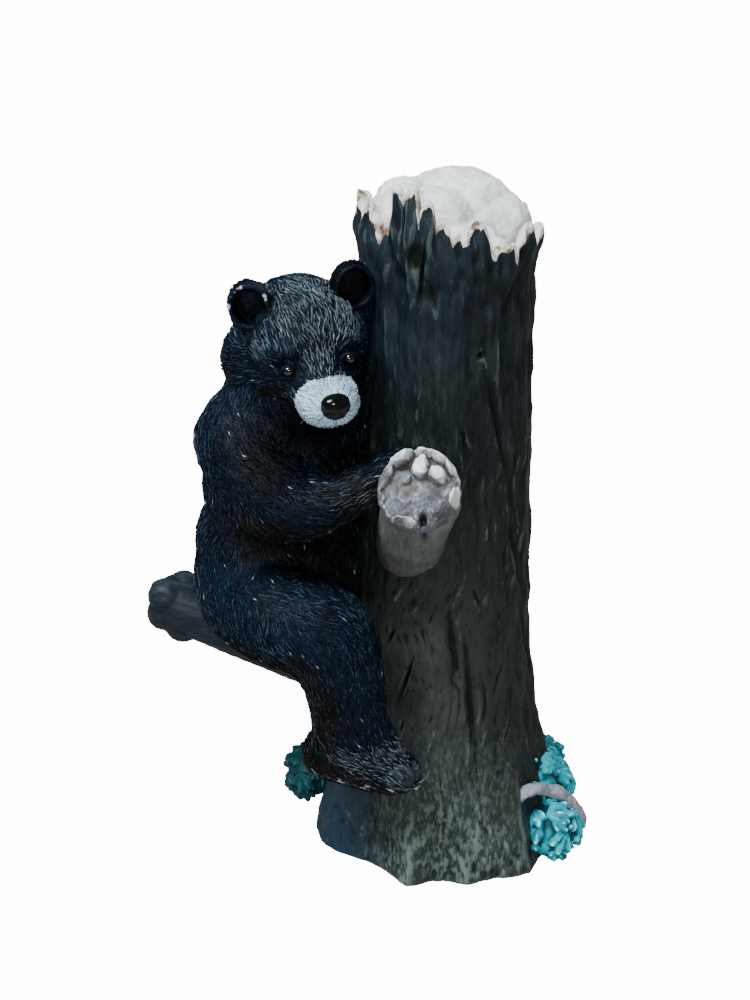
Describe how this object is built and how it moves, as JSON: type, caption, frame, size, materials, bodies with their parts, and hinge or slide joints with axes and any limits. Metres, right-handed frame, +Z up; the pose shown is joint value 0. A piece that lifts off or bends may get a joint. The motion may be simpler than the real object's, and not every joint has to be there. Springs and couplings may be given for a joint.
{
  "type": "bear figurine",
  "caption": "Black bear cub seated on a side branch and hugging a snow-topped broken tree trunk with pine clumps at its foot, cast in one on a flat base.",
  "frame": {"origin": "on the flat underside, below the middle of the tree trunk", "axes": "+Z up along the trunk, -Y towards the side with the broken stub, where the cub's face looks; the cub sits on the -X side"},
  "size_m": [0.094, 0.0661, 0.1435],
  "materials": {
    "painted_casting": "hand-painted satin black, slate grey, white and turquoise"
  },
  "bodies": {
    "root": {"bear_on_tree_trunk": "painted_casting"}
  },
  "joints": []
}
